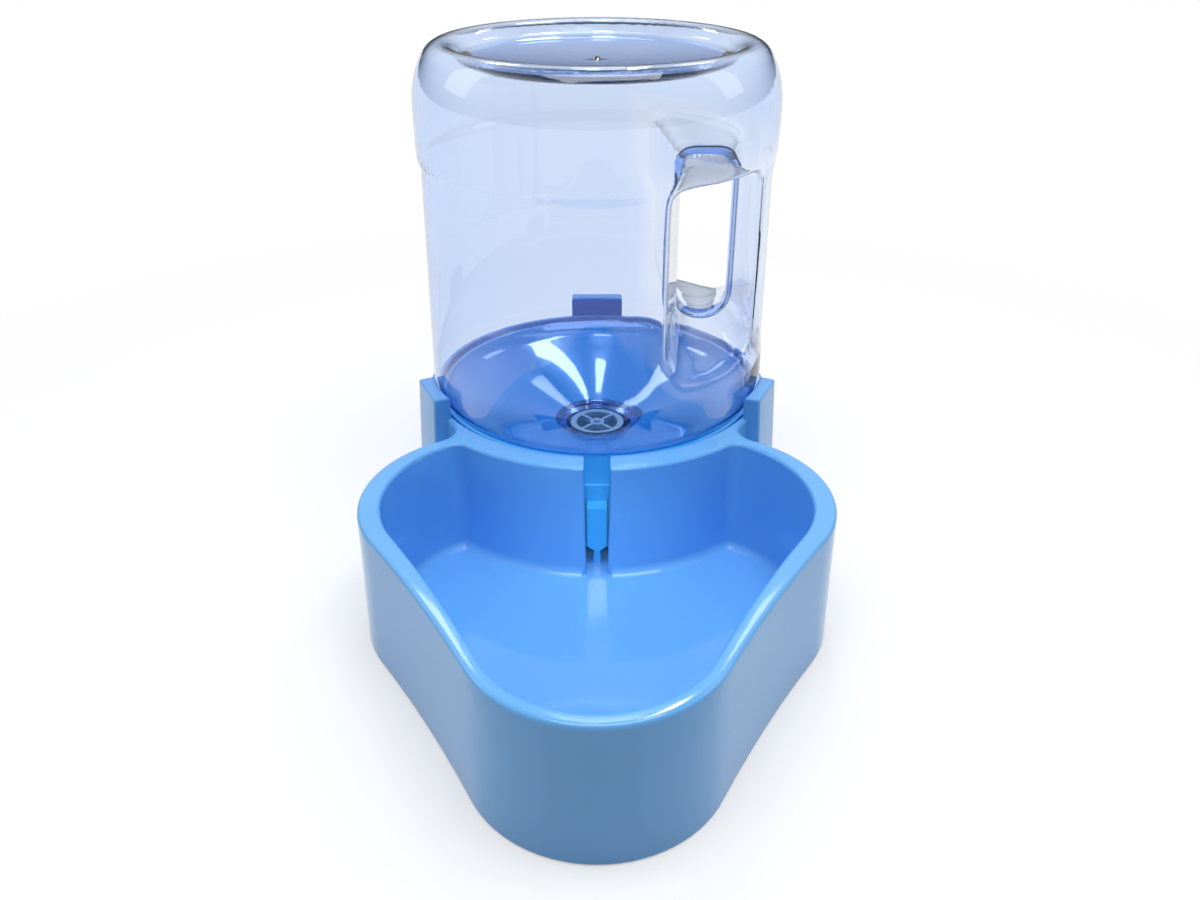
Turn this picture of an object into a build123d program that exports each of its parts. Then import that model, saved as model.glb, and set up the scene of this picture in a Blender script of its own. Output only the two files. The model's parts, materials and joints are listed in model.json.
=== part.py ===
from build123d import *
from math import atan2, cos, hypot, pi, radians, sin, sqrt, tan
import os

os.makedirs("parts", exist_ok=True)

# Millimetres, +Z up. The origin is on the floor under the centre of the whole waterer.
# The bowl is in front, towards -Y, and the bottle stands behind it, towards +Y.
# Plan sizes of the base are measured from the bottle's own axis.

# Heights of the base
foot_stand = 1.0  # the skirt's edge clears the floor by this much
deck_z = 83.0  # the one flat plane of bowl rim and tower deck
floor_z = 9.0  # the wet floor of bowl and tower cup
tab_top_z = 98.0  # top of the three guide tabs

# Walls of the base
skirt_wall = 3.0
bowl_wall = 3.0
floor_wall = 3.0
deck_wall = 3.2

# Outer plan of the bowl: two back lobes and one front lobe, with slightly hollow flanks
lobe_x = 57.0
lobe_y = -154.0
lobe_r = 76.2
front_y = -266.0
front_r = 66.5
flank_r = 900.0
tower_r = 114.0
junction_r = 14.5
skirt_draft = 1.0  # degrees, wider at the floor
rim_round = 2.6

# Inner plan of the bowl
rim_side = 12.7  # rim width at the widest point of the back lobes
rim_front = 8.7  # rim width at the front
bowl_back = 10.5  # the back wall is round about the bottle, this far outside the tower
bowl_lobe_r = lobe_r - 6.6
bowl_front_r = front_r - 7.2
bowl_back_r = tower_r + bowl_back
cusp_r = 8.5
bowl_draft = 1.8
bowl_floor_round = 6.0
mouth_round = 2.2

# Tower cup and the slot that lets water through to the bowl
cup_r = tower_r - 4.5
cup_mouth_round = 1.2
slot_top_w = 16.0
slot_foot_w = 13.0
slot_edge_round = 1.8
slot_reach = 9.0  # how far the slot's cut runs past the walls on either side

# Guide tabs, each (direction in degrees, width)
tab_list = [(90.0, 39.0), (-24.5, 34.5), (204.5, 34.5)]
tab_inner_r = cup_r + 1.7
tab_top_r = tab_inner_r + 8.8  # outer face at the top
tab_foot_r = tab_top_r + 5.0  # outer face at the skirt's edge
tab_round = 1.8
tab_skin = 3.0
tab_core_top_z = 55.0
core_lean = 1.5

# Bottle, standing upside down, heights above the floor
bottle_wall = 1.8
lip_z = 30.0  # the neck's lip, at the bottom
neck_r = 22.6
neck_bore_r = 19.0
bead_r = 25.0
bead_z = 46.0
cone_slope = 19.0  # degrees
shoulder_r = 25.0
shoulder_z = 97.0  # the shoulder's round ends here and the side begins
bottle_top_z = 302.0
band_r = cup_r + 0.5
panel_r = band_r - 2.2  # the side tapers to this below the upper band
upper_band_z = bottle_top_z - 64.0
step_h = 5.0
corner_w = 18.0
corner_h = 34.0
corner_tip_r = 12.0
dish_drop = 7.5
dish_centre_drop = 11.5
dish_ring_r = 80.0
gate_r = 2.2
gate_h = 1.4
bore_overrun = 1.0  # the inside is cut this far past the neck's lip

# Handle opening through the bottle's +X side
grip_out_x = band_r - 25.6
grip_in_x = grip_out_x - 32.4
grip_high_z = upper_band_z - 2.0
grip_low_z = grip_high_z - 105.0
grip_low_round = 15.0
grip_high_round = 6.0
grip_web = 4.0  # half the straight length of the opening
grip_rim = 4.6  # solid plastic round the opening, where the two halves are pinched together
grip_rim_y = 2.6
flare_in_x = grip_in_x - 15.0
flare_out_x = band_r + 3.0
flare_low_z = grip_low_z - 12.0
flare_high_z = grip_high_z + 3.0
flare_low_round = 22.0
flare_y = band_r + 8.0
bar_x = band_r - 3.6  # outer face of the handle's bar, set back from the side
bar_low_z = grip_low_z - 9.0
bar_high_z = grip_high_z - 1.0
bar_slope = 3.0

# Bottle seat, a drop-in funnel
rest_gap = 0.3
seat_wall = 2.5
seat_gap = 3.0  # between the seat's skirt and the cup's wall
throat_gap = 3.6  # between the funnel's throat and the screw collar
throat_low_z = 32.0
port_w = 18.0
port_h = 6.0
strip_w = 4.2
strip_reach = 8.4  # the strip and the pad stand forward of the skirt, in the slot
window_w = 17.0
window_low_z = 60.5
tongue_w = 12.0
tongue_shift = 1.6
tongue_back = 1.5
tongue_wall = 2.5
tongue_low_z = 51.0
ledge_z = 50.0
ledge_low_z = 20.0
ledge_reach = 10.0
ledge_gap = 1.0  # on both sides together, where the slot is narrowest beside the pad
ledge_cut = 3.0
seat_ribs = 8
seat_rib_wall = 2.0

# Screw collar, seals and valve
seal_h = 1.2
flange_h = 1.6
gasket_h = 0.8
collar_floor_h = 2.2
collar_hole_r = 14.5
collar_gap = 0.6
collar_wall = 2.6
collar_top_gap = 1.2
collar_rib_count = 30
collar_rib_r = 0.9
collar_round = 1.0
closure_gap = 0.3
plug_gap = 0.4
plug_wall = 2.0
plug_top_z = 46.5
plate_h = 2.0
orifice_r = 6.5
snout_r = 13.0
snout_low_z = 24.4
snout_round = 0.8
head_r = 9.5
head_h = 2.2
valve_seal_h = 1.5
valve_seal_r = 9.2
stem_low_r = 3.2
stem_top_r = 2.2
stem_gap = 0.08
stem_low_z = 20.3
stem_round = 0.6
stem_proud = 2.0
cage_h = 2.4
cage_hub_r = 5.0
cage_spokes = 4
cage_spoke_w = 2.0
cage_ledge_h = 1.2
cage_rim_w = 1.8
spring_r = 3.9
spring_wire_r = 0.4
spring_turns = 5
spring_rest_gap = 0.05

# Probe on the cup's floor, under the plunger
probe_r = 3.5
probe_fin_r = 8.0
probe_fin_w = 1.8
probe_fin_h = 6.0

# Feet, each (x, y) from the bottle's axis
foot_r = 9.0
foot_h = 3.2
foot_recess = 1.0
foot_gap = 0.2
foot_round = 0.8
boss_wall = 2.0
foot_front = (28.0, front_y - 24.0)
foot_side = (lobe_x + 41.0, lobe_y - 11.0)
foot_back_gap = 16.6  # from a back foot's centre to the cup's wall
foot_back_along = (cup_r - foot_back_gap) * sqrt(0.5)
foot_back = (foot_back_along, foot_back_along)
foot_places = {
    "foot_front_left": (-foot_front[0], foot_front[1]),
    "foot_front_right": foot_front,
    "foot_left": (-foot_side[0], foot_side[1]),
    "foot_right": foot_side,
    "foot_back_left": (-foot_back[0], foot_back[1]),
    "foot_back_right": foot_back,
}

# Stiffening ribs under the base
rib_w = 2.0
rib_h = 3.0
cup_rib_r = 52.0
cup_spokes = 6
bowl_rib_radii = [150.0, 185.0, 220.0, 255.0, 290.0]
rib_inset = 9.0  # the ribs stop short of the bowl's rounded foot

same = 0.01  # two positions this near each other count as one

# The bottle's axis stands behind the origin, so that the origin is under the centre
skirt_growth = (deck_z - foot_stand) * tan(radians(skirt_draft))
front_reach = front_r - front_y + skirt_growth
axis_y = (front_reach - tab_foot_r) / 2
bottle_axis = Axis((0, axis_y, 0), (0, 0, 1))
profile_plane = Plane((0, axis_y, 0), x_dir=(1, 0, 0), z_dir=(0, -1, 0))


def level(z):
    """The plan plane at height z, centred on the bottle's axis."""
    return Plane((0, axis_y, z))


def upright(angle):
    """The upright plane through the bottle's axis that holds the direction angle."""
    out = (cos(radians(angle)), sin(radians(angle)), 0)
    return Plane((0, axis_y, 0), x_dir=out, z_dir=(out[1], -out[0], 0))


def on_circle(centre, radius, angle):
    return (centre[0] + radius * cos(angle), centre[1] + radius * sin(angle))


def bowl_outline(lobe_at, lobe_radius, front_at, front_radius, hollow_radius):
    """Closed outline of the bowl: lobe arc, hollow flank and front arc, mirrored in X."""
    gap = hypot(front_at[0] - lobe_at[0], front_at[1] - lobe_at[1])
    reach_lobe = lobe_radius + hollow_radius
    reach_front = front_radius + hollow_radius
    along = (reach_lobe**2 - reach_front**2 + gap**2) / (2 * gap)
    aside = sqrt(reach_lobe**2 - along**2)
    ux = (front_at[0] - lobe_at[0]) / gap
    uy = (front_at[1] - lobe_at[1]) / gap
    hollow_at = (lobe_at[0] + along * ux - aside * uy, lobe_at[1] + along * uy + aside * ux)
    lobe_end = atan2(hollow_at[1] - lobe_at[1], hollow_at[0] - lobe_at[0])
    front_start = atan2(hollow_at[1] - front_at[1], hollow_at[0] - front_at[0])
    lobe_foot = on_circle(lobe_at, lobe_radius, lobe_end)
    front_head = on_circle(front_at, front_radius, front_start)
    chord_x = (lobe_foot[0] + front_head[0]) / 2
    chord_y = (lobe_foot[1] + front_head[1]) / 2
    hollow_mid = on_circle(hollow_at, hollow_radius, atan2(chord_y - hollow_at[1], chord_x - hollow_at[0]))
    lobe_top = (lobe_at[0], lobe_at[1] + lobe_radius)
    front_tip = (0, front_at[1] - front_radius)
    Line((0, lobe_top[1]), lobe_top)
    ThreePointArc(lobe_top, on_circle(lobe_at, lobe_radius, (pi / 2 + lobe_end) / 2), lobe_foot)
    ThreePointArc(lobe_foot, hollow_mid, front_head)
    ThreePointArc(front_head, on_circle(front_at, front_radius, (front_start - pi / 2) / 2), front_tip)
    mirror(about=Plane.YZ)


def base_plan(z, inset):
    """Solid plan of the base at the deck, drawn in by inset and taken down to the skirt's edge."""
    drop = z - foot_stand
    with BuildPart() as block:
        with BuildSketch(level(z)) as plan:
            with BuildLine():
                bowl_outline(
                    (lobe_x, lobe_y),
                    lobe_r - inset,
                    (0, front_y),
                    front_r - inset,
                    flank_r + inset,
                )
            make_face()
            Circle(tower_r - inset)
            on_tower = [v for v in plan.vertices() if abs(hypot(v.X, v.Y) - tower_r + inset) < same]
            fillet([v for v in on_tower if v.Y < -junction_r], radius=junction_r + inset)
        extrude(amount=-drop, taper=-skirt_draft)
    return block.part


def bowl_space(grow):
    """The bowl's inside, or with grow the outside of its wall and floor."""
    inner_lobe_x = lobe_x + lobe_r - rim_side - bowl_lobe_r
    inner_front_y = front_y - front_r + rim_front + bowl_front_r
    with BuildPart() as space:
        with BuildSketch(level(deck_z)) as plan:
            with BuildLine():
                bowl_outline(
                    (inner_lobe_x, lobe_y),
                    bowl_lobe_r + grow,
                    (0, inner_front_y),
                    bowl_front_r + grow,
                    flank_r - grow,
                )
            make_face()
            Circle(bowl_back_r - grow, mode=Mode.SUBTRACT)
            on_back = [v for v in plan.vertices() if abs(hypot(v.X, v.Y) - bowl_back_r + grow) < same]
            fillet([v for v in on_back if v.Y < -cusp_r], radius=cusp_r + grow)
        floor_drop = deck_z - floor_z + (floor_wall if grow else 0)
        extrude(amount=-floor_drop, taper=bowl_draft)
        foot_edges = space.faces().sort_by(Axis.Z)[0].edges()
        fillet(foot_edges, radius=bowl_floor_round + grow)
    return space.part


def slot_plan(width, wall_r, grow):
    """Plan of the slot: straight through the wall, its corners rounded into the bowl's back wall."""
    inner_end = cup_r - slot_reach
    outer_end = wall_r + slot_reach
    with Locations((0, -(inner_end + outer_end) / 2)):
        Rectangle(width + 2 * grow, outer_end - inner_end)
    if grow == 0:
        with Locations((0, -(wall_r + outer_end) / 2)):
            Rectangle(width + 3 * slot_edge_round, outer_end - wall_r)


def slot_space(grow):
    """The slot between cup and bowl, narrower at the floor."""
    low_z = floor_z - (floor_wall if grow else 0)
    foot_wall_r = bowl_back_r + (deck_z - floor_z) * tan(radians(bowl_draft))
    with BuildPart() as space:
        for z, width, wall_r in ((deck_z, slot_top_w, bowl_back_r), (low_z, slot_foot_w, foot_wall_r)):
            with BuildSketch(level(z)) as plan:
                slot_plan(width, wall_r, grow)
                on_wall = [v for v in plan.vertices() if abs(v.Y + wall_r) < same]
                if grow == 0:
                    fillet([v for v in on_wall if abs(v.X) < width / 2 + same], radius=slot_edge_round)
        loft()
    return space.part


# Base shell: one hollow moulding, open underneath
bowl_cut = bowl_space(0)
bowl_keep = bowl_space(bowl_wall)
slot_cut = slot_space(0)
slot_keep = slot_space(bowl_wall)
base_block = base_plan(deck_z, 0)
under_z = deck_z - deck_wall
under_inset = skirt_wall - deck_wall * tan(radians(skirt_draft))
under_block = base_plan(under_z, under_inset)

with BuildPart() as under_space:
    add(under_block)
    add(bowl_keep, mode=Mode.SUBTRACT)
    with BuildSketch(level(floor_z - floor_wall)):
        Circle(cup_r + bowl_wall)
    extrude(amount=deck_z, mode=Mode.SUBTRACT)
    add(slot_keep, mode=Mode.SUBTRACT)


rib_top_z = floor_z - floor_wall / 2
with BuildPart() as under_ribs:
    with BuildSketch(level(floor_z - floor_wall - rib_h)):
        for radius in sorted(bowl_rib_radii, reverse=True):
            Circle(radius + rib_w / 2)
            Circle(radius - rib_w / 2, mode=Mode.SUBTRACT)
        with BuildLine():
            bowl_outline(
                (lobe_x + lobe_r - rim_side - bowl_lobe_r, lobe_y),
                bowl_lobe_r - rib_inset,
                (0, front_y - front_r + rim_front + bowl_front_r),
                bowl_front_r - rib_inset,
                flank_r + rib_inset,
            )
        make_face(mode=Mode.INTERSECT)
    extrude(amount=rib_top_z - (floor_z - floor_wall - rib_h))
    with BuildSketch(level(floor_z - floor_wall - rib_h)):
        Circle(cup_rib_r + rib_w / 2)
        Circle(cup_rib_r - rib_w / 2, mode=Mode.SUBTRACT)
        with PolarLocations(cup_r / 2, cup_spokes):
            Rectangle(cup_r, rib_w)
    extrude(amount=rib_top_z - (floor_z - floor_wall - rib_h))


def tab_block(angle, width):
    """One guide tab with the pilaster under it, its outer face leaning out towards the floor."""
    with BuildPart() as tab:
        with BuildSketch(upright(angle)):
            with BuildLine():
                Polyline(
                    (cup_r - bowl_wall, foot_stand),
                    (tab_foot_r, foot_stand),
                    (tab_top_r, tab_top_z),
                    (cup_r - bowl_wall, tab_top_z),
                    close=True,
                )
            make_face()
        extrude(amount=width / 2, both=True)
        with BuildSketch(level(deck_z)):
            Circle(tab_inner_r)
        extrude(amount=tab_top_z, mode=Mode.SUBTRACT)
        top_edges = tab.faces().sort_by(Axis.Z)[-1].edges()
        outer_edges = [e for e in tab.edges() if e.length > deck_z]
        outer_edges.sort(key=lambda e: -hypot(e.center().X, e.center().Y - axis_y))
        fillet(list(top_edges) + outer_edges[:2], radius=tab_round)
    return tab.part


def tab_hollow(angle, width):
    """The moulding core that lightens a pilaster from below."""
    core_in_r = tower_r + tab_skin / 2
    with BuildPart() as core:
        with BuildSketch(upright(angle)):
            with BuildLine():
                Polyline(
                    (core_in_r, 0),
                    (tab_foot_r - tab_skin, 0),
                    (tab_top_r - tab_skin + core_lean, tab_core_top_z),
                    (core_in_r, tab_core_top_z),
                    close=True,
                )
            make_face()
        extrude(amount=width / 2 - tab_skin, both=True)
    return core.part


tab_blocks = [tab_block(angle, width) for angle, width in tab_list]
tab_hollows = [tab_hollow(angle, width) for angle, width in tab_list]

with BuildPart() as base_shell:
    add(base_block)
    fillet(base_shell.faces().sort_by(Axis.Z)[-1].edges(), radius=rim_round)
    for block in tab_blocks:
        add(block)
    add(bowl_cut, mode=Mode.SUBTRACT)
    with BuildSketch(level(floor_z)):
        Circle(cup_r)
    extrude(amount=deck_z, mode=Mode.SUBTRACT)
    deck_edges = [e for e in base_shell.edges() if abs(e.center().Z - deck_z) < same]
    flat_edges = [e for e in deck_edges if e.bounding_box().size.Z < same]
    bowl_edges = [e for e in flat_edges if hypot(e.center().X, e.center().Y - axis_y) > tower_r]
    fillet(bowl_edges, radius=mouth_round)
    deck_edges = [e for e in base_shell.edges() if abs(e.center().Z - deck_z) < same]
    deck_arcs = [e for e in deck_edges if e.geom_type == GeomType.CIRCLE]
    fillet([e for e in deck_arcs if abs(e.radius - cup_r) < same], radius=cup_mouth_round)
    add(slot_cut, mode=Mode.SUBTRACT)
    add(under_space.part, mode=Mode.SUBTRACT)
    for hollow in tab_hollows:
        add(hollow, mode=Mode.SUBTRACT)
    with BuildSketch(level(floor_z)):
        Circle(probe_r)
    extrude(amount=stem_low_z - rest_gap - floor_z)
    for turn in (0, 90):
        with BuildSketch(Plane(level(floor_z).origin, x_dir=(cos(radians(turn)), sin(radians(turn)), 0))):
            Rectangle(2 * probe_fin_r, probe_fin_w)
        extrude(amount=probe_fin_h)
    add(under_ribs.part)
    for place in foot_places.values():
        with BuildSketch(level(foot_h - foot_recess)):
            with Locations(place):
                Circle(foot_r + foot_gap + boss_wall)
        extrude(amount=floor_z - floor_wall / 2 - foot_h + foot_recess)
        with BuildSketch(level(foot_h)):
            with Locations(place):
                Circle(foot_r + foot_gap)
        extrude(amount=-foot_h, mode=Mode.SUBTRACT)

base_shell.part.label = "base_shell"
export_step(base_shell.part, "parts/base_shell.step")

# Bottle: outer form, less the handle opening, less the inside
cone_angle = radians(cone_slope)
shoulder_at = (band_r - shoulder_r, shoulder_z)


def shoulder_foot(offset):
    """Where the shoulder's round runs into the cone, for a surface offset outwards by offset."""
    radius = shoulder_r + offset
    return (shoulder_at[0] + radius * sin(cone_angle), shoulder_at[1] - radius * cos(cone_angle))


def cone_z(radius, offset):
    foot = shoulder_foot(offset)
    return foot[1] - (foot[0] - radius) * tan(cone_angle)


def shoulder_point(radius, offset):
    return (radius, shoulder_at[1] - sqrt((shoulder_r + offset) ** 2 - (radius - shoulder_at[0]) ** 2))


def shoulder_arc(start, end, offset):
    """Arc of the shoulder's round between two of its points."""
    spread = [atan2(p[1] - shoulder_at[1], p[0] - shoulder_at[0]) for p in (start, end)]
    middle = on_circle(shoulder_at, shoulder_r + offset, sum(spread) / 2)
    ThreePointArc(start, middle, end)


def body_outline(wall):
    """Half section of the bottle above its neck, wall deep inside the outer surface."""
    foot = shoulder_foot(-wall)
    side = (band_r - wall, shoulder_z)
    tip_at = (band_r - corner_w, bottle_top_z - corner_tip_r)
    sweep_r = (corner_w**2 + corner_h**2 - 2 * corner_h * corner_tip_r) / (2 * (corner_w - corner_tip_r))
    sweep_at = (band_r - sweep_r, bottle_top_z - corner_h)
    turn = atan2(tip_at[1] - sweep_at[1], tip_at[0] - sweep_at[0])
    join = on_circle(sweep_at, sweep_r - wall, turn)
    ring = (tip_at[0], bottle_top_z - wall)
    dish = (dish_ring_r, bottle_top_z - dish_drop - wall)
    centre = (0, bottle_top_z - dish_centre_drop - wall)
    sag = dish_centre_drop - dish_drop
    dish_r = (dish_ring_r**2 + sag**2) / (2 * sag)
    dish_mid = on_circle((0, centre[1] + dish_r), dish_r, atan2(dish_ring_r, dish_r - sag) / 2 - pi / 2)
    shoulder_arc(foot, side, -wall)
    Polyline(
        side,
        (panel_r - wall, upper_band_z - step_h),
        (band_r - wall, upper_band_z),
        (band_r - wall, sweep_at[1]),
    )
    ThreePointArc((band_r - wall, sweep_at[1]), on_circle(sweep_at, sweep_r - wall, turn / 2), join)
    ThreePointArc(join, on_circle(tip_at, corner_tip_r - wall, turn / 2 + pi / 4), ring)
    Line(ring, dish)
    ThreePointArc(dish, dish_mid, centre)
    return foot, centre


def grip_space(grow):
    """The handle's opening and the hollows that flare from it to the bottle's front and back."""
    with BuildPart() as space:
        with BuildSketch(Plane.XZ.offset(-axis_y)) as hole:
            with Locations(((grip_in_x + grip_out_x) / 2, (grip_low_z + grip_high_z) / 2)):
                Rectangle(grip_out_x - grip_in_x + 2 * grow, grip_high_z - grip_low_z + 2 * grow)
            fillet(hole.vertices().group_by(Axis.Y)[0], radius=grip_low_round + grow)
            fillet(hole.vertices().group_by(Axis.Y)[-1], radius=grip_high_round + grow)
        extrude(amount=grip_web, both=True)
        for side in (-1, 1):
            with BuildSketch(Plane.XZ.offset(-axis_y + side * grip_web)) as near:
                with Locations(((grip_in_x + grip_out_x) / 2, (grip_low_z + grip_high_z) / 2)):
                    Rectangle(grip_out_x - grip_in_x + 2 * grow, grip_high_z - grip_low_z + 2 * grow)
                fillet(near.vertices().group_by(Axis.Y)[0], radius=grip_low_round + grow)
                fillet(near.vertices().group_by(Axis.Y)[-1], radius=grip_high_round + grow)
            with BuildSketch(Plane.XZ.offset(-axis_y + side * flare_y)) as far:
                with Locations(((flare_in_x + flare_out_x) / 2, (flare_low_z + flare_high_z) / 2)):
                    Rectangle(flare_out_x - flare_in_x + 2 * grow, flare_high_z - flare_low_z + 2 * grow)
                fillet(far.vertices().group_by(Axis.Y)[0], radius=flare_low_round + grow)
                fillet(far.vertices().group_by(Axis.Y)[-1], radius=grip_high_round + grow)
            loft()
        with BuildSketch(Plane.XZ.offset(-axis_y)) as bar_face:
            with BuildLine():
                Polyline(
                    (bar_x, bar_low_z),
                    (band_r + bar_slope, bar_low_z - bar_slope),
                    (band_r + bar_slope, bar_high_z + bar_slope),
                    (bar_x, bar_high_z),
                    close=True,
                )
            make_face()
            if grow > 0:
                offset(amount=grow, kind=Kind.INTERSECTION)
        extrude(amount=flare_in_x, both=True)
        if grow > 0:
            with BuildSketch(Plane.XZ.offset(-axis_y)) as rim:
                with Locations(((grip_in_x + grip_out_x) / 2, (grip_low_z + grip_high_z) / 2)):
                    Rectangle(grip_out_x - grip_in_x + 2 * grip_rim, grip_high_z - grip_low_z + 2 * grip_rim)
                fillet(rim.vertices().group_by(Axis.Y)[0], radius=grip_low_round + grip_rim)
                fillet(rim.vertices().group_by(Axis.Y)[-1], radius=grip_high_round + grip_rim)
            extrude(amount=grip_rim_y, both=True)
    return space.part


grip_cut = grip_space(0)
grip_keep = grip_space(bottle_wall)
with BuildPart() as bottle_inside:
    with BuildSketch(profile_plane):
        with BuildLine():
            foot, centre = body_outline(bottle_wall)
            Polyline(
                centre,
                (0, lip_z - bore_overrun),
                (neck_bore_r, lip_z - bore_overrun),
                (neck_bore_r, cone_z(neck_bore_r, -bottle_wall)),
                foot,
            )
        make_face()
    revolve(axis=bottle_axis)
    add(grip_keep, mode=Mode.SUBTRACT)
with BuildPart() as bottle:
    with BuildSketch(profile_plane):
        with BuildLine():
            foot, centre = body_outline(0)
            Polyline(
                centre,
                (0, lip_z),
                (neck_r, lip_z),
                (neck_r, bead_z),
                (bead_r, bead_z),
                (bead_r, cone_z(bead_r, 0)),
                foot,
            )
        make_face()
    revolve(axis=bottle_axis)
    add(grip_cut, mode=Mode.SUBTRACT)
    add(bottle_inside.part, mode=Mode.SUBTRACT)
    with BuildSketch(level(bottle_top_z - dish_centre_drop)):
        Circle(gate_r)
    extrude(amount=gate_h)
bottle.part.label = "bottle"
export_step(bottle.part, "parts/bottle.step")

# Bottle seat: a funnel on a round skirt that stands in the tower cup
collar_r = neck_r + collar_gap + collar_wall
throat_r = collar_r + throat_gap
seat_r = cup_r - seat_gap
seat_in_r = seat_r - seat_wall
under = rest_gap + seat_wall


def front_plane(radius):
    """Upright plane facing the bowl, radius in front of the bottle's axis."""
    return Plane((0, axis_y - radius, 0), x_dir=(1, 0, 0), z_dir=(0, -1, 0))


with BuildPart() as bottle_seat:
    with BuildSketch(profile_plane):
        with BuildLine():
            rim_in = shoulder_point(seat_in_r, rest_gap)
            rim_under = shoulder_point(seat_in_r, under)
            top_foot = shoulder_foot(rest_gap)
            under_foot = shoulder_foot(under)
            Polyline((seat_in_r, floor_z), (seat_r, floor_z), (seat_r, rim_in[1]), rim_in)
            shoulder_arc(rim_in, top_foot, rest_gap)
            Polyline(
                top_foot,
                (throat_r, cone_z(throat_r, rest_gap)),
                (throat_r, throat_low_z),
                (throat_r + seat_wall, throat_low_z),
                (throat_r + seat_wall, cone_z(throat_r + seat_wall, under)),
                under_foot,
            )
            shoulder_arc(under_foot, rim_under, under)
            Line(rim_under, (seat_in_r, floor_z))
        make_face()
    revolve(axis=bottle_axis)
    rib_in = throat_r + seat_wall / 2
    rib_out = seat_in_r + seat_wall / 2
    for index in range(seat_ribs):
        with BuildSketch(upright(360 * (index + 0.5) / seat_ribs)):
            with BuildLine():
                Polyline(
                    (rib_in, cone_z(rib_in, rest_gap) - seat_wall / 2),
                    (rib_in, throat_low_z),
                    (rib_out, ledge_z),
                    (rib_out, rim_under[1]),
                    (under_foot[0], under_foot[1] + seat_wall / 3),
                    close=True,
                )
            make_face()
        extrude(amount=seat_rib_wall / 2, both=True)
    # Low water port at the skirt's foot
    with BuildSketch(front_plane(seat_in_r - seat_wall)):
        with Locations((0, floor_z)):
            Rectangle(port_w, 2 * port_h)
    extrude(amount=3 * seat_wall, mode=Mode.SUBTRACT)
    # Window behind the top of the slot
    with BuildSketch(front_plane(seat_in_r)):
        with Locations((0, (window_low_z + deck_z) / 2)):
            Rectangle(window_w, deck_z - window_low_z)
    extrude(amount=2 * seat_wall, mode=Mode.SUBTRACT)
    # Pad below the window, forward in the slot: a ledge on top, a strip from it to the floor
    with BuildSketch(front_plane(seat_in_r + seat_wall / 2)) as pad:
        with Locations((0, (ledge_z + ledge_low_z) / 2)):
            Rectangle(slot_foot_w - ledge_gap, ledge_z - ledge_low_z)
        chamfer(pad.vertices().group_by(Axis.Y)[0], length=ledge_cut)
    extrude(amount=seat_wall / 2 + ledge_reach)
    with BuildSketch(front_plane(seat_in_r + seat_wall / 2)):
        with Locations((0, (floor_z + ledge_low_z + ledge_cut) / 2)):
            Rectangle(strip_w, ledge_low_z + ledge_cut - floor_z)
    extrude(amount=seat_wall / 2 + strip_reach)
    # Tongue that hangs behind the window
    with BuildSketch(front_plane(seat_in_r - tongue_back - tongue_wall)):
        with Locations((tongue_shift, (tongue_low_z + rim_under[1]) / 2)):
            Rectangle(tongue_w, rim_under[1] - tongue_low_z)
    extrude(amount=tongue_wall)
    with BuildSketch(profile_plane):
        with BuildLine():
            Line((throat_r, bottle_top_z), (throat_r, cone_z(throat_r, rest_gap)))
            Line((throat_r, cone_z(throat_r, rest_gap)), top_foot)
            shoulder_arc(top_foot, rim_in, rest_gap)
            Polyline(rim_in, (seat_r, rim_in[1]), (seat_r, bottle_top_z), (throat_r, bottle_top_z))
        make_face()
    revolve(axis=bottle_axis, mode=Mode.SUBTRACT)
bottle_seat.part.label = "bottle_seat"
export_step(bottle_seat.part, "parts/bottle_seat.step")

# Neck closure, from the neck's lip downwards: seal, insert flange, slip gasket, collar floor
flange_top_z = lip_z - seal_h
flange_low_z = flange_top_z - flange_h
gasket_low_z = flange_low_z - gasket_h
collar_low_z = gasket_low_z - collar_floor_h
flange_r = neck_r - closure_gap
plug_r = neck_bore_r - plug_gap
plug_bore_r = plug_r - plug_wall
plate_top_z = flange_low_z + plate_h

with BuildPart() as neck_seal:
    with BuildSketch(level(flange_top_z)):
        Circle(flange_r)
        Circle(neck_bore_r + plug_gap, mode=Mode.SUBTRACT)
    extrude(amount=seal_h)
neck_seal.part.label = "neck_seal"
export_step(neck_seal.part, "parts/neck_seal.step")

with BuildPart() as valve_insert:
    with BuildSketch(level(flange_low_z)):
        Circle(flange_r)
    extrude(amount=flange_h)
    with BuildSketch(level(flange_low_z)):
        Circle(plug_r)
    extrude(amount=plug_top_z - flange_low_z)
    with BuildSketch(level(plate_top_z)):
        Circle(plug_bore_r)
    extrude(amount=plug_top_z - plate_top_z, mode=Mode.SUBTRACT)
    with BuildSketch(level(snout_low_z)):
        Circle(snout_r)
    extrude(amount=flange_low_z - snout_low_z)
    fillet(valve_insert.faces().sort_by(Axis.Z)[0].edges(), radius=snout_round)
    with BuildSketch(level(snout_low_z)):
        Circle(orifice_r)
    extrude(amount=plate_top_z - snout_low_z, mode=Mode.SUBTRACT)
valve_insert.part.label = "valve_insert"
export_step(valve_insert.part, "parts/valve_insert.step")

with BuildPart() as cap_gasket:
    with BuildSketch(level(gasket_low_z)):
        Circle(flange_r)
        Circle(collar_hole_r + closure_gap, mode=Mode.SUBTRACT)
    extrude(amount=gasket_h)
cap_gasket.part.label = "cap_gasket"
export_step(cap_gasket.part, "parts/cap_gasket.step")

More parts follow.
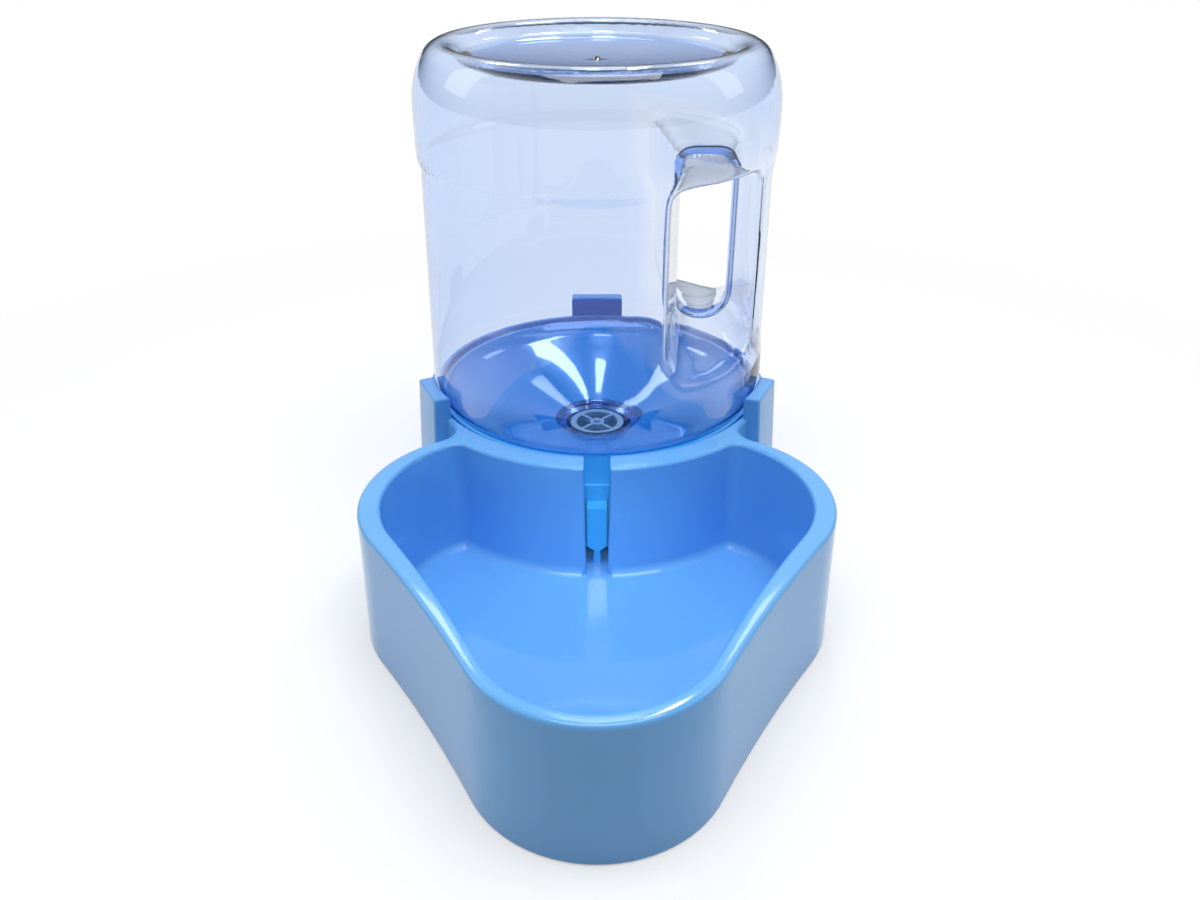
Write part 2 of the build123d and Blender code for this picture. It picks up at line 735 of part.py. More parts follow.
with BuildPart() as cap_collar:
    with BuildSketch(level(collar_low_z)):
        Circle(collar_r)
    extrude(amount=bead_z - collar_top_gap - collar_low_z)
    fillet(cap_collar.faces().sort_by(Axis.Z)[0].edges(), radius=collar_round)
    with BuildSketch(level(gasket_low_z)):
        Circle(neck_r + collar_gap)
    extrude(amount=bead_z - gasket_low_z, mode=Mode.SUBTRACT)
    with BuildSketch(level(collar_low_z)):
        Circle(collar_hole_r)
    extrude(amount=collar_floor_h, mode=Mode.SUBTRACT)
    with BuildSketch(level(collar_low_z + collar_round)):
        with PolarLocations(collar_r, collar_rib_count):
            Circle(collar_rib_r)
    extrude(amount=bead_z - collar_top_gap - collar_low_z - 2 * collar_round)
cap_collar.part.label = "cap_collar"
export_step(cap_collar.part, "parts/cap_collar.step")

# Valve: plunger and its seal, spring, and the cage that guides the stem
valve_seal_low_z = plate_top_z + rest_gap
head_low_z = valve_seal_low_z + valve_seal_h
head_top_z = head_low_z + head_h
cage_top_z = plug_top_z + cage_h
hub_low_z = plug_top_z - cage_ledge_h

with BuildPart() as valve_seal:
    with BuildSketch(level(valve_seal_low_z)):
        Circle(valve_seal_r)
        Circle(stem_low_r + stem_gap, mode=Mode.SUBTRACT)
    extrude(amount=valve_seal_h)
valve_seal.part.label = "valve_seal"
export_step(valve_seal.part, "parts/valve_seal.step")

with BuildPart() as valve_plunger:
    with BuildSketch(level(stem_low_z)):
        Circle(stem_low_r)
    extrude(amount=head_low_z - stem_low_z)
    fillet(valve_plunger.faces().sort_by(Axis.Z)[0].edges(), radius=stem_round)
    with BuildSketch(level(head_low_z)):
        Circle(head_r)
    extrude(amount=head_h)
    with BuildSketch(level(head_top_z)):
        Circle(stem_top_r)
    extrude(amount=cage_top_z + stem_proud - head_top_z)
    fillet(valve_plunger.faces().sort_by(Axis.Z)[-1].edges(), radius=stem_round)
valve_plunger.part.label = "valve_plunger"
export_step(valve_plunger.part, "parts/valve_plunger.step")

with BuildPart() as valve_cage:
    with BuildSketch(level(plug_top_z)):
        Circle(plug_r)
    extrude(amount=cage_h)
    with BuildSketch(level(hub_low_z)):
        Circle(plug_bore_r - plug_gap)
    extrude(amount=cage_ledge_h)
    with BuildSketch(level(hub_low_z)):
        Circle(plug_bore_r - plug_gap - cage_rim_w)
        Circle(cage_hub_r, mode=Mode.SUBTRACT)
        with PolarLocations(plug_bore_r / 2, cage_spokes, start_angle=45):
            Rectangle(plug_bore_r + cage_rim_w, cage_spoke_w, mode=Mode.SUBTRACT)
    extrude(amount=cage_top_z - hub_low_z, mode=Mode.SUBTRACT)
    with BuildSketch(level(hub_low_z)):
        Circle(stem_top_r + stem_gap)
    extrude(amount=cage_top_z - hub_low_z, mode=Mode.SUBTRACT)
valve_cage.part.label = "valve_cage"
export_step(valve_cage.part, "parts/valve_cage.step")

spring_low_z = head_top_z + spring_wire_r + spring_rest_gap
spring_height = hub_low_z - spring_wire_r - spring_rest_gap - spring_low_z
with BuildPart() as valve_spring:
    with BuildLine(level(spring_low_z)) as spring_path:
        Helix(pitch=spring_height / spring_turns, height=spring_height, radius=spring_r)
    with BuildSketch(Plane(spring_path.line @ 0, z_dir=spring_path.line % 0)):
        Circle(spring_wire_r)
    sweep(path=spring_path.line, is_frenet=True)
valve_spring.part.label = "valve_spring"
export_step(valve_spring.part, "parts/valve_spring.step")

# Feet: rubber pads let into the bosses
for foot_name, place in foot_places.items():
    with BuildPart() as foot:
        with BuildSketch(level(0)):
            with Locations(place):
                Circle(foot_r)
        extrude(amount=foot_h)
        fillet(foot.faces().sort_by(Axis.Z)[0].edges(), radius=foot_round)
    foot.part.label = foot_name
    export_step(foot.part, f"parts/{foot_name}.step")
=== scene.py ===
import json
from math import acos, asin, atan2, cos, degrees, hypot, pi, radians, sin, tan

import bpy
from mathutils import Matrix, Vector

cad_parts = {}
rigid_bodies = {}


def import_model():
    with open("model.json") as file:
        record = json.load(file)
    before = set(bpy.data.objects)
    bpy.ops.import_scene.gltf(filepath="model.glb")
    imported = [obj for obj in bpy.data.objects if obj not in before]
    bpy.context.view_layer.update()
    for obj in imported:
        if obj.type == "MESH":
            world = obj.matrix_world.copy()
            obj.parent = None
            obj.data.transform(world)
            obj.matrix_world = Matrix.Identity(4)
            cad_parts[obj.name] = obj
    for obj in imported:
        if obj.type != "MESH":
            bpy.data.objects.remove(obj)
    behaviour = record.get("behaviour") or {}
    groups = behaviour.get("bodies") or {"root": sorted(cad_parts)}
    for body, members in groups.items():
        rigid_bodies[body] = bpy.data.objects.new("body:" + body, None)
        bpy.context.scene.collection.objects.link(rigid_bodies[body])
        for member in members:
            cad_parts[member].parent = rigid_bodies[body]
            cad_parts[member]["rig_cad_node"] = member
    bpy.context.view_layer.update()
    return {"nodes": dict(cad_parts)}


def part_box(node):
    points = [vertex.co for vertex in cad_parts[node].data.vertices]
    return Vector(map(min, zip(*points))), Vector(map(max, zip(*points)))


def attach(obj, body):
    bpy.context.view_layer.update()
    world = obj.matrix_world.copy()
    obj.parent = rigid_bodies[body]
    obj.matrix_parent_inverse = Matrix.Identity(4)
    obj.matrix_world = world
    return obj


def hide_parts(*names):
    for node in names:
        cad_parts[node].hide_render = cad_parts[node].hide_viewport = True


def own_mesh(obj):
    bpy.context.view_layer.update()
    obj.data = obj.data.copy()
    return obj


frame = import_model()
nodes = frame["nodes"]

# Camera, at the photograph's angle
camera_data = bpy.data.cameras.new("camera")
camera_data.sensor_width = 36.0
camera_data.lens = 31.335
camera_data.shift_x = 0.0025
camera = bpy.data.objects.new("camera", camera_data)
camera.location = (0.0, -0.5449, 0.3944)
camera.rotation_euler = (radians(60.38), 0.0, 0.0)
bpy.context.scene.collection.objects.link(camera)
bpy.context.scene.camera = camera
bpy.context.scene.view_settings.view_transform = "Standard"


def new_material(name):
    """An empty node material and its output node."""
    material = bpy.data.materials.new(name)
    material.use_nodes = True
    material.node_tree.nodes.clear()
    output = material.node_tree.nodes.new("ShaderNodeOutputMaterial")
    return material, output


def join(tree, value, socket):
    """Feed a socket from another node's output, or set it to a plain value."""
    if isinstance(value, bpy.types.NodeSocket):
        tree.links.new(value, socket)
    else:
        socket.default_value = value


def math_node(tree, operation, *values):
    """The result of a Math node on outputs of other nodes or plain numbers."""
    node = tree.nodes.new("ShaderNodeMath")
    node.operation = operation
    for value, socket in zip(values, node.inputs):
        join(tree, value, socket)
    return node.outputs[0]


def ramp_node(tree, value, start, end, low=0.0, high=1.0, interpolation="LINEAR"):
    """A value mapped from start..end to low..high."""
    node = tree.nodes.new("ShaderNodeMapRange")
    node.interpolation_type = interpolation
    for key, number in (("From Min", start), ("From Max", end), ("To Min", low), ("To Max", high)):
        node.inputs[key].default_value = number
    tree.links.new(value, node.inputs["Value"])
    return node.outputs[0]


def mix_number(tree, share, low, high):
    """low where share is 0 and high where it is 1."""
    node = tree.nodes.new("ShaderNodeMix")
    node.data_type = "FLOAT"
    for value, socket in ((share, 0), (low, 2), (high, 3)):
        join(tree, value, node.inputs[socket])
    return node.outputs[0]


def mix_shaders(tree, share, first, second):
    """first where share is 0 and second where it is 1."""
    node = tree.nodes.new("ShaderNodeMixShader")
    for value, socket in zip((share, first, second), node.inputs):
        tree.links.new(value, socket)
    return node.outputs[0]


def seen_directly(tree):
    """1 for camera, glossy and transmission rays, 0 for the rays that light the object."""
    path = tree.nodes.new("ShaderNodeLightPath").outputs
    mirrored = math_node(tree, "MAXIMUM", path["Is Camera Ray"], path["Is Glossy Ray"])
    return math_node(tree, "MAXIMUM", mirrored, path["Is Transmission Ray"])


def noise_node(tree, scale, detail):
    """Noise on the piece's own coordinates."""
    place = tree.nodes.new("ShaderNodeTexCoord")
    noise = tree.nodes.new("ShaderNodeTexNoise")
    noise.inputs["Detail"].default_value = detail
    join(tree, scale, noise.inputs["Scale"])
    tree.links.new(place.outputs["Object"], noise.inputs["Vector"])
    return noise.outputs["Fac"]


def build_surface_group():
    """Moulded surface: slow changes of tone and gloss, and the fine ripple of a moulding's skin."""
    group = bpy.data.node_groups.new("moulded_surface", "ShaderNodeTree")
    group.interface.new_socket("Colour", in_out="INPUT", socket_type="NodeSocketColor")
    for name in ("Tone", "Gloss", "Gloss Change", "Ripple", "Ripple Size"):
        group.interface.new_socket(name, in_out="INPUT", socket_type="NodeSocketFloat")
    group.interface.new_socket("Colour", in_out="OUTPUT", socket_type="NodeSocketColor")
    group.interface.new_socket("Roughness", in_out="OUTPUT", socket_type="NodeSocketFloat")
    group.interface.new_socket("Normal", in_out="OUTPUT", socket_type="NodeSocketVector")
    entry = group.nodes.new("NodeGroupInput").outputs
    leave = group.nodes.new("NodeGroupOutput").inputs

    shift = math_node(group, "SUBTRACT", noise_node(group, 9.0, 3.0), 0.5)
    amount = math_node(group, "MULTIPLY_ADD", shift, entry["Tone"], 1.0)
    tone = group.nodes.new("ShaderNodeHueSaturation")
    group.links.new(amount, tone.inputs["Value"])
    group.links.new(entry["Colour"], tone.inputs["Color"])
    group.links.new(tone.outputs["Color"], leave["Colour"])

    smear = noise_node(group, 28.0, 5.0)
    gloss = math_node(group, "MULTIPLY_ADD", smear, entry["Gloss Change"], entry["Gloss"])
    group.links.new(gloss, leave["Roughness"])

    bump = group.nodes.new("ShaderNodeBump")
    bump.inputs["Distance"].default_value = 0.0002
    group.links.new(noise_node(group, entry["Ripple Size"], 2.0), bump.inputs["Height"])
    group.links.new(entry["Ripple"], bump.inputs["Strength"])
    group.links.new(bump.outputs["Normal"], leave["Normal"])
    return group


surface_group = build_surface_group()


def surface_on(material, shader, **values):
    """Feed a shader's roughness and normal from the moulded surface, set to these values."""
    tree = material.node_tree
    surface = tree.nodes.new("ShaderNodeGroup")
    surface.node_tree = surface_group
    for key, value in values.items():
        surface.inputs[key.replace("_", " ").title()].default_value = value
    tree.links.new(surface.outputs["Roughness"], shader.inputs["Roughness"])
    tree.links.new(surface.outputs["Normal"], shader.inputs["Normal"])
    return surface


def moulded_material(name, colour, gloss, ripple=0.1, metallic=0.0):
    """An opaque piece: the moulded surface on a plain shader."""
    material, output = new_material(name)
    tree = material.node_tree
    shader = tree.nodes.new("ShaderNodeBsdfPrincipled")
    shader.inputs["Metallic"].default_value = metallic
    values = {"colour": (*colour, 1.0), "tone": 0.04, "gloss": gloss, "gloss_change": 0.03}
    surface = surface_on(material, shader, ripple=ripple, ripple_size=160.0, **values)
    tree.links.new(surface.outputs["Colour"], shader.inputs["Base Color"])
    tree.links.new(shader.outputs[0], output.inputs["Surface"])
    return material


def clear_material(name, thickness_colour, density):
    """A clear tinted wall that refracts, darkens with the way through it and lights what is inside."""
    material, output = new_material(name)
    tree = material.node_tree
    shader = tree.nodes.new("ShaderNodeBsdfPrincipled")
    shader.inputs["Transmission Weight"].default_value = 1.0
    shader.inputs["IOR"].default_value = 1.45
    shader.inputs["Base Color"].default_value = (0.97, 0.97, 0.985, 1.0)
    surface_on(material, shader, gloss=0.0, gloss_change=0.02, ripple=0.05, ripple_size=60.0)
    # Light for what lies behind the wall, and rays caught inside it, go straight on
    see_through = tree.nodes.new("ShaderNodeBsdfTransparent")
    see_through.inputs["Color"].default_value = (0.87, 0.885, 0.91, 1.0)
    path = tree.nodes.new("ShaderNodeLightPath").outputs
    caught = math_node(tree, "GREATER_THAN", path["Transmission Depth"], 7.0)
    lit = math_node(tree, "MAXIMUM", path["Is Shadow Ray"], path["Is Diffuse Ray"])
    straight = math_node(tree, "MAXIMUM", lit, caught)
    mixed = mix_shaders(tree, straight, shader.outputs[0], see_through.outputs[0])
    tree.links.new(mixed, output.inputs["Surface"])
    absorb = tree.nodes.new("ShaderNodeVolumeAbsorption")
    absorb.inputs["Color"].default_value = (*thickness_colour, 1.0)
    absorb.inputs["Density"].default_value = density
    tree.links.new(absorb.outputs[0], output.inputs["Volume"])
    return material


blue_moulding = moulded_material("blue_moulding", (0.14, 0.44, 0.89), gloss=0.05, ripple=0.06)
# The seat's blue is lighter and more saturated than the base's blue: painted light, so that the seat looks
# lit where it stands in the slot's shade.
seat_moulding = moulded_material("seat_moulding", (0.07, 0.56, 1.0), gloss=0.08, ripple=0.06)
clear_blue = clear_material("clear_blue", (0.06, 0.44, 0.95), 115.0)
cap_plastic = moulded_material("cap_plastic", (0.08, 0.32, 0.8), gloss=0.25)
valve_plastic = moulded_material("valve_plastic", (0.3, 0.46, 0.62), gloss=0.35)
seal_rubber = moulded_material("seal_rubber", (0.09, 0.11, 0.14), gloss=0.6, ripple=0.4)
foot_rubber = moulded_material("foot_rubber", (0.03, 0.033, 0.038), gloss=0.65, ripple=0.5)
spring_steel = moulded_material("spring_steel", (0.55, 0.56, 0.58), gloss=0.25, metallic=1.0)

finishes = {
    "base_shell": blue_moulding,
    "bottle_seat": seat_moulding,
    "bottle": clear_blue,
    "cap_collar": cap_plastic,
    "valve_insert": valve_plastic,
    "valve_cage": valve_plastic,
    "valve_plunger": valve_plastic,
    "valve_spring": spring_steel,
    "cap_gasket": seal_rubber,
    "neck_seal": seal_rubber,
    "valve_seal": seal_rubber,
}
for name, node in nodes.items():
    node.data.materials.clear()
    node.data.materials.append(finishes.get(name, foot_rubber))


def only_selected(piece):
    """Deselect all, then select and activate one object."""
    bpy.ops.object.select_all(action="DESELECT")
    piece.select_set(True)
    bpy.context.view_layer.objects.active = piece


def merged_copy(node_name, piece_name):
    """A copy of a CAD node with its loose triangles merged, ready to be shaped."""
    only_selected(nodes[node_name])
    bpy.ops.object.duplicate()
    piece = bpy.context.view_layer.objects.active
    piece.name = piece_name
    del piece["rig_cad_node"]
    bpy.ops.object.mode_set(mode="EDIT")
    bpy.ops.mesh.select_all(action="SELECT")
    bpy.ops.mesh.remove_doubles(threshold=0.000001)
    bpy.ops.object.mode_set(mode="OBJECT")
    bpy.ops.mesh.customdata_custom_splitnormals_clear()
    return piece


def finish_piece(piece, node_name, body, angle):
    """Smooth the rounds of a shaped piece and let it stand for its CAD node."""
    only_selected(piece)
    bpy.ops.object.shade_smooth_by_angle(angle=radians(angle))
    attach(piece, body)
    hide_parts(node_name)
    return piece


def apply_modifier(piece, kind, **settings):
    """Add one modifier, set it and apply it."""
    only_selected(piece)
    modifier = piece.modifiers.new(kind.lower(), kind)
    for key, value in settings.items():
        setattr(modifier, key, value)
    bpy.ops.object.modifier_apply(modifier=modifier.name)


def edit(piece, face_select=False):
    """Open a piece for editing with nothing selected."""
    only_selected(piece)
    bpy.ops.object.mode_set(mode="EDIT")
    bpy.ops.mesh.select_mode(type="FACE" if face_select else "VERT")
    bpy.ops.mesh.select_all(action="DESELECT")


def weigh(piece, name, share):
    """A vertex group whose weights come from each point's place."""
    group = piece.vertex_groups.new(name=name)
    for vertex in piece.data.vertices:
        group.add([vertex.index], share(vertex.co), "REPLACE")


finish_piece(merged_copy("base_shell", "base_moulding"), "base_shell", "base", 24)
finish_piece(merged_copy("bottle_seat", "seat_moulding"), "bottle_seat", "base", 24)

# Bottle, in metres. Heights are above the floor, and radii are from the bottle's own axis.
bottle_low, bottle_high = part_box("bottle")
axis_x = (bottle_low[0] + bottle_high[0]) / 2
axis_y = (bottle_low[1] + bottle_high[1]) / 2
lip_z = bottle_low[2]
top_z = bottle_high[2]
band_r = (bottle_high[0] - bottle_low[0]) / 2
panel_r = band_r - 0.0022
upper_band_z = top_z - 0.064
step_h = 0.005
shoulder_r = 0.025
shoulder_z = 0.097
cone_slope = 19.0  # degrees
corner_w = 0.018
corner_h = 0.034
corner_tip_r = 0.012
dish_r = 0.08
dish_z = top_z - 0.0075
dish_centre_z = top_z - 0.0115
gate_r = 0.0022
gate_h = 0.0014
wall = 0.0018
neck_side_r = 0.015  # the body's section starts here, inside the neck
seam_r = 0.027  # the blown body ends here on the cone, and the neck begins
seam_gap = 0.00003
voxel = 0.0026
exact_steps = 288  # of the round body that the blown skin is drawn back to

# Handle opening and the pinched seam round it
grip_in_x = band_r - 0.058
grip_out_x = band_r - 0.0256
grip_high_z = upper_band_z - 0.002
grip_low_z = grip_high_z - 0.105
pinch = 0.0046
pinch_half_w = 0.0030
pinch_reach = 0.008  # the seam ends this far outside the opening
handle_wall_share = 0.5  # of the plain wall

# Where the blown wall is softened: from these distances round the handle, faded over blend_w
handle_from_x = 0.020
handle_below = 0.030
handle_above = 0.016
blend_w = 0.012
hollow_from_y = 0.012
hollow_blend = 0.02
hollow_reach = 0.012
dish_edge_w = 0.006
dish_below = 0.004
dish_blend = 0.003


def arc(centre, radius, start, end, count):
    """Points of the half section on an arc, from angle start to angle end in degrees."""
    angles = [radians(start + (end - start) * index / count) for index in range(count + 1)]
    return [(centre[0] + radius * cos(angle), centre[1] + radius * sin(angle)) for angle in angles]


def body_section():
    """Half section of the blown body: cone, shoulder, side with its step, corner, lip and dish."""
    shoulder = (band_r - shoulder_r, shoulder_z)
    round_under = arc(shoulder, shoulder_r, cone_slope - 90, 0, 16)
    foot = round_under[0]
    neck_side = (neck_side_r, foot[1] - (foot[0] - neck_side_r) * tan(radians(cone_slope)))
    tip = (band_r - corner_w, top_z - corner_tip_r)
    sweep_r = (corner_w**2 + corner_h**2 - 2 * corner_h * corner_tip_r) / (2 * (corner_w - corner_tip_r))
    sweep = (band_r - sweep_r, top_z - corner_h)
    turn = degrees(atan2(tip[1] - sweep[1], tip[0] - sweep[0]))
    reach = hypot(tip[0] - dish_r, tip[1] - dish_z)
    lip_end = degrees(atan2(dish_z - tip[1], dish_r - tip[0]) - acos(corner_tip_r / reach))
    sag = dish_z - dish_centre_z
    bowl_r = (dish_r**2 + sag**2) / (2 * sag)
    edge = degrees(asin(dish_r / bowl_r))
    return (
        [neck_side]
        + round_under
        + [(panel_r, upper_band_z - step_h), (band_r, upper_band_z)]
        + arc(sweep, sweep_r, 0, turn, 10)
        + arc(tip, corner_tip_r, turn, lip_end, 24)
        + arc((0, dish_centre_z + bowl_r), bowl_r, edge - 90, -90, 14)
    )


def spun_body(section, steps):
    """The half section drawn out point by point and spun round the bottle's axis."""
    bpy.ops.object.select_all(action="DESELECT")
    bpy.ops.mesh.primitive_plane_add(size=0.001, location=(axis_x + section[0][0], axis_y, section[0][1]))
    body = bpy.context.view_layer.objects.active
    bpy.ops.object.transform_apply(location=True, rotation=True, scale=True)
    bpy.ops.object.mode_set(mode="EDIT")
    bpy.ops.mesh.merge(type="CENTER")
    for here, there in zip(section, section[1:]):
        step = (there[0] - here[0], 0, there[1] - here[1])
        bpy.ops.mesh.extrude_region_move(TRANSFORM_OT_translate={"value": step})
    bpy.ops.mesh.select_all(action="SELECT")
    bpy.ops.mesh.spin(steps=steps, angle=2 * pi, center=(axis_x, axis_y, 0), axis=(0, 0, 1))
    bpy.ops.mesh.select_all(action="SELECT")
    bpy.ops.mesh.remove_doubles(threshold=0.00001)
    bpy.ops.object.mode_set(mode="OBJECT")
    return body


def radius_of(point):
    return hypot(point.x - axis_x, point.y - axis_y)


def handle_share(point):
    """1 where the handle is formed, falling to 0 on the plain round wall."""
    outwards = point.x - axis_x - handle_from_x
    upwards = point.z - grip_low_z + handle_below
    downwards = upper_band_z + handle_above - point.z
    return min(max(min(outwards, upwards, downwards) / blend_w, 0.0), 1.0)


def beside_grip(point):
    """How far a point lies outside the handle's opening, seen from the front."""
    x = point.x - axis_x
    return max(grip_in_x - x, x - grip_out_x, grip_low_z - point.z, point.z - grip_high_z)


def hollow_share(point):
    """1 on the hollows beside the handle, 0 at the edge of its opening."""
    deep = abs(point.y - axis_y)
    near_edge = 1.0 - min(max((deep - hollow_from_y) / hollow_blend, 0.0), 1.0)
    if beside_grip(point) > hollow_reach:
        near_edge = 0.0
    return handle_share(point) * (1.0 - near_edge)


def plain_share(point):
    return 1.0 - handle_share(point)


def dish_share(point):
    """1 under the dish, where the moulding is thickest, 0 from its lip outwards."""
    inwards = (dish_r - radius_of(point)) / dish_edge_w
    upwards = (point.z - dish_centre_z + dish_below) / dish_blend
    return min(max(min(inwards, upwards), 0.0), 1.0)


def pinch_share(point):
    """Thickness of the wall as a share of the pinched seam's: full on the seam and dish, thin elsewhere."""
    thin = wall / pinch * (1.0 - handle_wall_share * handle_share(point))
    thin = thin + (1.0 - thin) * dish_share(point)
    if beside_grip(point) > pinch_reach:
        return thin
    along = 1.0 - (abs(point.y - axis_y) - pinch_half_w) / voxel
    return thin + (1.0 - thin) * min(max(along, 0.0), 1.0)


def keep_joined(piece, index):
    """Delete all of a mesh that isn't joined to one of its points."""
    edit(piece)
    bpy.ops.object.mode_set(mode="OBJECT")
    piece.data.vertices[index].select = True
    bpy.ops.object.mode_set(mode="EDIT")
    bpy.ops.mesh.select_linked()
    bpy.ops.mesh.select_all(action="INVERT")
    bpy.ops.mesh.delete(type="VERT")
    bpy.ops.object.mode_set(mode="OBJECT")


def raise_gate(skin):
    """The small gate mark that stands up in the middle of the dish."""
    edit(skin)
    bpy.ops.object.mode_set(mode="OBJECT")
    for vertex in skin.data.vertices:
        vertex.select = vertex.co.z > dish_centre_z - wall and radius_of(vertex.co) < gate_r
    bpy.ops.object.mode_set(mode="EDIT")
    bpy.ops.transform.translate(value=(0, 0, gate_h))
    bpy.ops.object.mode_set(mode="OBJECT")


def blown_skin():
    """The outer skin of the blown body, its handle softened as a blown wall is."""
    skin = merged_copy("bottle", "bottle_wall")
    lip_top = lip_z + 0.0001
    edit(skin, face_select=True)
    bpy.ops.object.mode_set(mode="OBJECT")
    for face in skin.data.polygons:
        face.select = face.center.z < lip_top
    bpy.ops.object.mode_set(mode="EDIT")
    bpy.ops.mesh.delete(type="FACE")
    bpy.ops.object.mode_set(mode="OBJECT")
    widest = max(skin.data.vertices, key=lambda vertex: radius_of(vertex.co)).index
    keep_joined(skin, widest)
    edit(skin)
    bpy.ops.mesh.select_non_manifold()
    bpy.ops.mesh.edge_face_add()
    bpy.ops.object.mode_set(mode="OBJECT")
    apply_modifier(skin, "REMESH", mode="VOXEL", voxel_size=voxel, use_smooth_shade=True)
    exact = spun_body(body_section(), exact_steps)
    weigh(skin, "handle", handle_share)
    weigh(skin, "plain", plain_share)
    weigh(skin, "hollow", hollow_share)
    apply_modifier(skin, "SMOOTH", factor=0.5, iterations=8, vertex_group="handle")
    apply_modifier(skin, "SMOOTH", factor=0.5, iterations=24, vertex_group="hollow")
    apply_modifier(skin, "SHRINKWRAP", target=exact, wrap_method="NEAREST_SURFACEPOINT", vertex_group="plain")
    bpy.data.objects.remove(exact, do_unlink=True)
    apply_modifier(skin, "SMOOTH", factor=0.5, iterations=2)
    raise_gate(skin)
    return skin


def blown_body():
    """The skin opened above the neck and given its wall, thicker at the handle's pinched seam."""
    skin = blown_skin()
    foot = arc((band_r - shoulder_r, shoulder_z), shoulder_r, cone_slope - 90, 0, 1)[0]
    seam_z = foot[1] - (foot[0] - seam_r) * tan(radians(cone_slope))
    edit(skin)
    bpy.ops.mesh.select_all(action="SELECT")
    bpy.ops.mesh.bisect(plane_co=(0, 0, seam_z), plane_no=(0, 0, 1), clear_inner=True)
    bpy.ops.object.mode_set(mode="OBJECT")
    weigh(skin, "pinch", pinch_share)
    apply_modifier(
        skin,
        "SOLIDIFY",
        thickness=pinch,
        offset=-1.0,
        vertex_group="pinch",
        use_even_offset=False,
        use_quality_normals=True,
    )
    return skin, seam_z


def moulded_neck(seam_z):
    """The neck with its ring, cut from the bottle where the blown body ends."""
    neck = merged_copy("bottle", "bottle_neck")
    low_z = lip_z - 0.005
    high_z = seam_z + 0.008
    lean = tan(radians(cone_slope))
    bpy.ops.object.select_all(action="DESELECT")
    bpy.ops.mesh.primitive_cone_add(
        vertices=96,
        radius1=seam_r - seam_gap + (seam_z - low_z) * lean,
        radius2=seam_r - seam_gap - (high_z - seam_z) * lean,
        depth=high_z - low_z,
        location=(axis_x, axis_y, (low_z + high_z) / 2),
    )
    cutter = bpy.context.view_layer.objects.active
    bpy.ops.object.transform_apply(location=True, rotation=True, scale=True)
    apply_modifier(neck, "BOOLEAN", operation="INTERSECT", object=cutter, solver="EXACT")
    bpy.data.objects.remove(cutter, do_unlink=True)
    edit(neck)
    bpy.ops.mesh.select_all(action="SELECT")
    bpy.ops.mesh.remove_doubles(threshold=0.000001)
    bpy.ops.object.mode_set(mode="OBJECT")
    lowest = min(neck.data.vertices, key=lambda vertex: vertex.co.z).index
    keep_joined(neck, lowest)
    return neck


body, seam_z = blown_body()
neck = moulded_neck(seam_z)
for piece in (body, neck):
    finish_piece(piece, "bottle", "bottle", 32)

# The valve's spring: a smoothed copy with a mesh of its own. The real spring shortens against the cage as the
# plunger comes up.
coil = merged_copy("valve_spring", "spring_coil")
finish_piece(coil, "valve_spring", "bottle", 60)
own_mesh(coil)


def build_floor():
    """A floor that keeps the shadow round the object and is plain white farther off."""
    bpy.ops.object.select_all(action="DESELECT")
    bpy.ops.mesh.primitive_plane_add(size=30.0, location=(0, 0, 0))
    floor = bpy.context.object
    floor.name = "studio_floor"
    material, output = new_material("studio_floor")
    tree = material.node_tree
    seen = seen_directly(tree)
    matt = tree.nodes.new("ShaderNodeBsdfPrincipled")
    matt.inputs["Base Color"].default_value = (0.6, 0.6, 0.6, 1.0)
    matt.inputs["Roughness"].default_value = 0.9
    matt.inputs["Emission Color"].default_value = (1.0, 1.0, 1.0, 1.0)
    tree.links.new(math_node(tree, "MULTIPLY", seen, 0.4), matt.inputs["Emission Strength"])
    white = tree.nodes.new("ShaderNodeEmission")
    white.inputs["Color"].default_value = (1.0, 1.0, 1.0, 1.0)
    place = tree.nodes.new("ShaderNodeTexCoord")
    distance = tree.nodes.new("ShaderNodeVectorMath")
    distance.operation = "LENGTH"
    tree.links.new(place.outputs["Object"], distance.inputs[0])
    far = ramp_node(tree, distance.outputs["Value"], 0.42, 0.75)
    share = math_node(tree, "MULTIPLY", far, seen)
    tree.links.new(mix_shaders(tree, share, matt.outputs[0], white.outputs[0]), output.inputs["Surface"])
    floor.data.materials.append(material)
    return floor


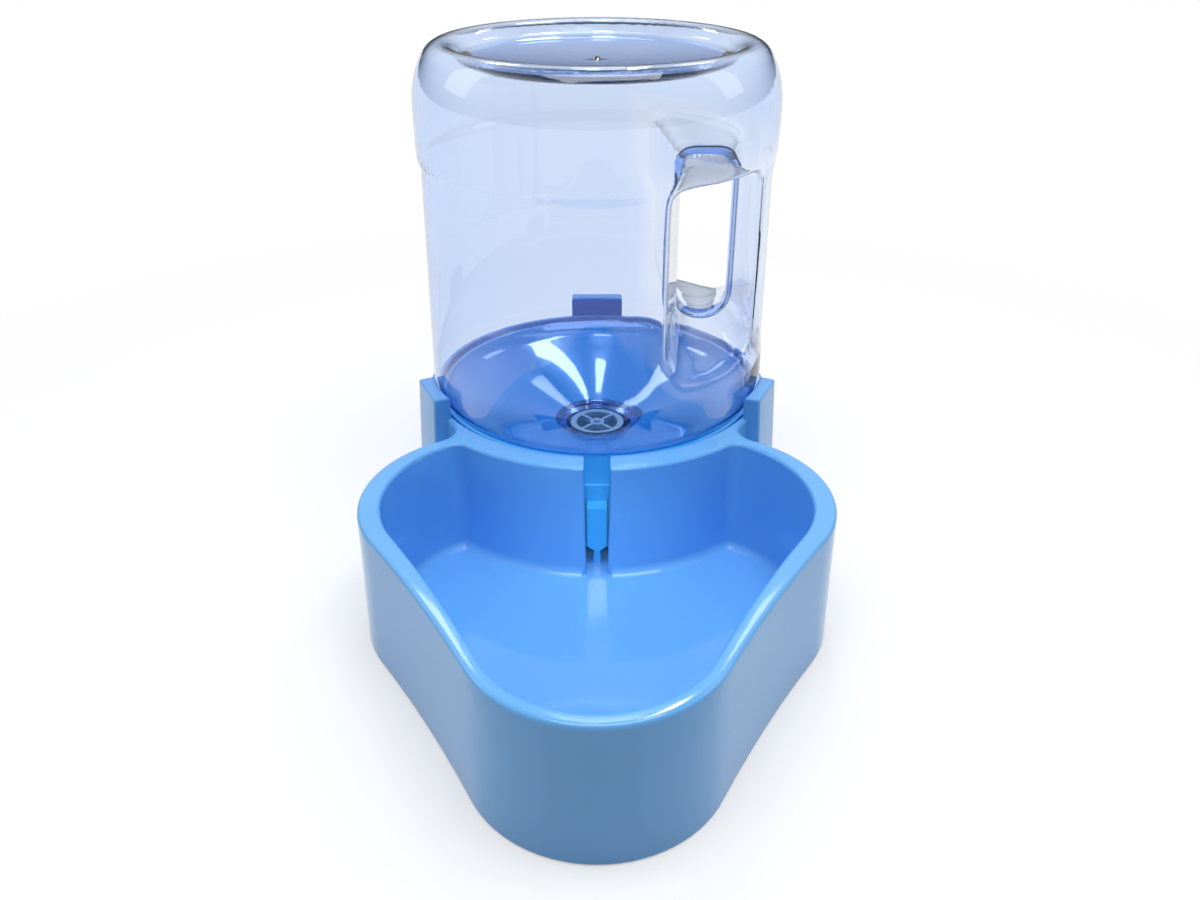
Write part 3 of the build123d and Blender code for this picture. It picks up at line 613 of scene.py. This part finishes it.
def build_world():
    """A studio lit from above and behind, dark low behind the camera and along the horizon.

    Where the camera looks straight at it, it is plain white."""
    world = bpy.data.worlds.new("studio")
    bpy.context.scene.world = world
    world.use_nodes = True
    tree = world.node_tree
    tree.nodes.clear()
    output = tree.nodes.new("ShaderNodeOutputWorld")
    glow = tree.nodes.new("ShaderNodeBackground")
    glow.inputs["Color"].default_value = (1.0, 1.0, 1.0, 1.0)
    direction = tree.nodes.new("ShaderNodeTexCoord").outputs["Generated"]
    lean = tree.nodes.new("ShaderNodeVectorMath")
    lean.operation = "DOT_PRODUCT"
    lean.inputs[1].default_value = (0.0, 1.0, 0.8)
    tree.links.new(direction, lean.inputs[0])
    side = ramp_node(tree, lean.outputs["Value"], -0.6, 0.35, low=0.06, interpolation="SMOOTHSTEP")
    parts = tree.nodes.new("ShaderNodeSeparateXYZ")
    tree.links.new(direction, parts.inputs[0])
    band = tree.nodes.new("ShaderNodeValToRGB")
    for stop, level in ((0.08, 0.1), (0.42, 1.0), (0.66, 1.0), (0.86, 0.3)):
        element = band.color_ramp.elements.new(stop)
        element.color = (level, level, level, 1.0)
    band.color_ramp.elements.remove(band.color_ramp.elements[0])
    band.color_ramp.elements.remove(band.color_ramp.elements[-1])
    tree.links.new(parts.outputs["Z"], band.inputs["Fac"])
    level = mix_number(tree, seen_directly(tree), 0.57, band.outputs["Color"])
    strength = math_node(tree, "MULTIPLY", level, side)
    path = tree.nodes.new("ShaderNodeLightPath").outputs
    shown = mix_number(tree, path["Is Camera Ray"], strength, 1.0)
    tree.links.new(shown, glow.inputs["Strength"])
    tree.links.new(glow.outputs[0], output.inputs["Surface"])


build_floor()
build_world()


def place_lamp(data, energy, location, target):
    """Hang a lamp at its location, turned to face target."""
    data.energy = energy
    lamp = bpy.data.objects.new(data.name, data)
    lamp.location = location
    bpy.context.scene.collection.objects.link(lamp)
    direction = (Vector(location) - Vector(target)).to_track_quat("Z", "Y")
    lamp.rotation_euler = direction.to_euler()


def softbox(name, size_x, size_y, energy, location, target):
    """A rectangular studio lamp."""
    data = bpy.data.lights.new(name, "AREA")
    data.shape = "RECTANGLE"
    data.size = size_x
    data.size_y = size_y
    place_lamp(data, energy, location, target)


def spot(name, cone, energy, location, target):
    """A spotlight whose cone, in degrees, fades from its middle to its edge."""
    data = bpy.data.lights.new(name, "SPOT")
    data.spot_size = radians(cone)
    data.spot_blend = 1.0
    data.shadow_soft_size = 0.04
    place_lamp(data, energy, location, target)


softbox("top_softbox", 0.8, 0.5, 6.6, (0.05, -0.22, 1.1), (0, -0.05, 0.1))
softbox("back_middle_softbox", 0.2, 0.2, 0.5, (0.0, 1.02, 1.3), (0, -0.1, 0.08))
softbox("back_left_softbox", 0.16, 0.16, 0.5, (-0.34, 1.0, 1.08), (0, -0.1, 0.08))
softbox("back_right_softbox", 0.16, 0.16, 0.4, (0.36, 1.0, 1.08), (0, -0.1, 0.08))
softbox("streak_lamp", 0.06, 0.26, 1.6, (0.17, 0.92, 1.35), (0, 0.15, 0.06))
softbox("middle_lamp", 0.06, 0.07, 0.4, (-0.02, 0.8, 1.35), (0, 0.15, 0.06))
softbox("left_softbox", 0.5, 0.8, 1.6, (-1.2, 0.2, 0.9), (0, 0, 0.15))
softbox("right_softbox", 0.4, 0.8, 1.25, (1.2, 0.1, 0.9), (0, 0, 0.15))
spot("bowl_spot", 17.0, 3.0, (0, -0.6, 0.5), (0, -0.01, 0.045))
spot("slot_spot", 5.5, 7.5, (0, -0.6, 0.5), (0, -0.01, 0.03))
